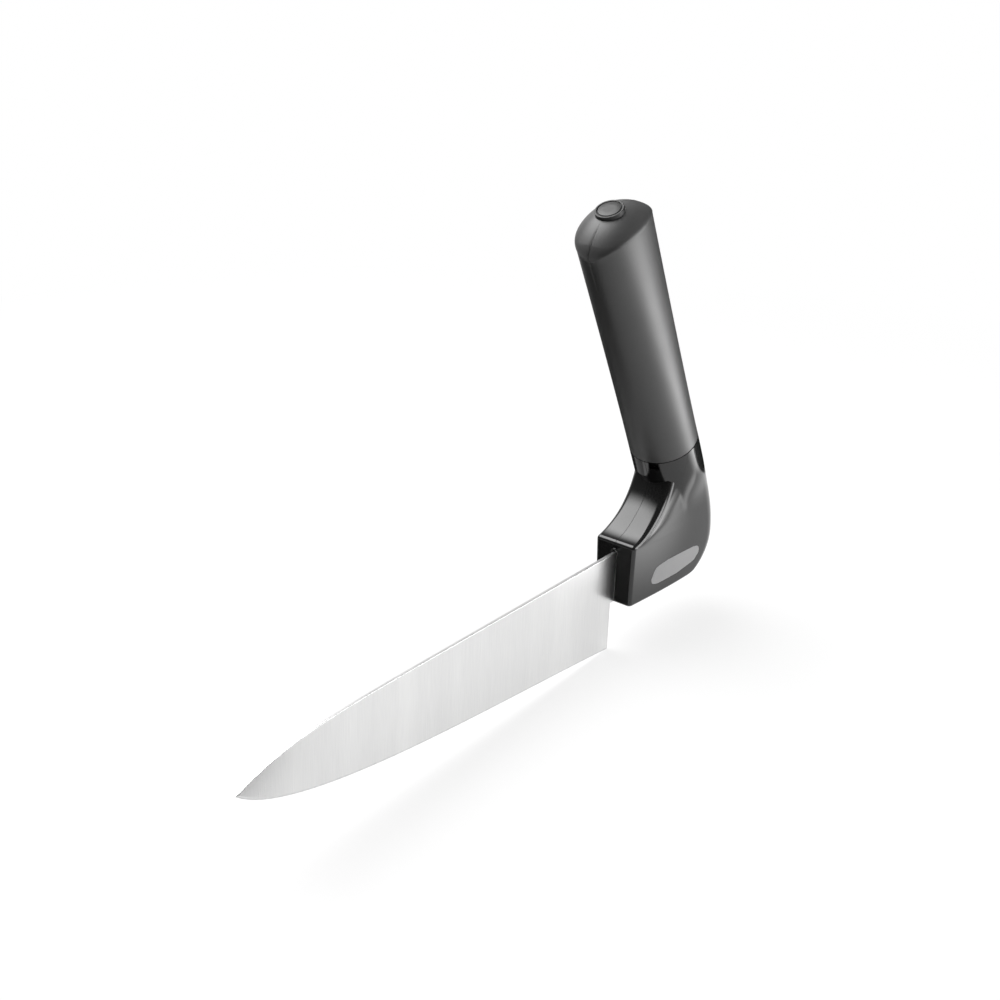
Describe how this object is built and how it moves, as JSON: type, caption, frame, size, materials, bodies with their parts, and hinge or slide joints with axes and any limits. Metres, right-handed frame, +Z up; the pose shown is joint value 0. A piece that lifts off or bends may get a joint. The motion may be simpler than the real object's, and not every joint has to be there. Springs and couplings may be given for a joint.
{
  "type": "carving knife",
  "caption": "Carving knife whose soft grip stands up from a glossy body behind the blade, so the blade is pushed and pulled like a saw.",
  "frame": {"origin": "Middle of the bounding box in plan, at the height of the heel of the blade, the knife's lowest point", "axes": "+X from the tip of the blade to the back of the body, +Y to the knife's right when it points away from the user, +Z up from the cutting edge to the spine and the grip"},
  "size_m": [0.2617, 0.0278, 0.1838],
  "materials": {
    "blade_steel": "satin stainless steel, finely ground from spine to edge",
    "body_gloss": "glossy black moulded plastic",
    "inlay_grey": "matt light grey soft inlay",
    "dowel_steel": "plain ground steel pin",
    "core_plastic": "stiff black plastic, hidden",
    "grip_rubber": "matt dark grey soft grip",
    "plug_plastic": "satin black plastic button"
  },
  "bodies": {
    "root": {"blade": "blade_steel", "body_shell_left": "body_gloss", "body_shell_right": "body_gloss", "inlay_left": "inlay_grey", "inlay_right": "inlay_grey", "tang_dowel_front": "dowel_steel", "tang_dowel_rear": "dowel_steel", "core_dowel": "dowel_steel", "handle_core": "core_plastic", "grip_sleeve": "grip_rubber", "end_plug": "plug_plastic"}
  },
  "joints": []
}
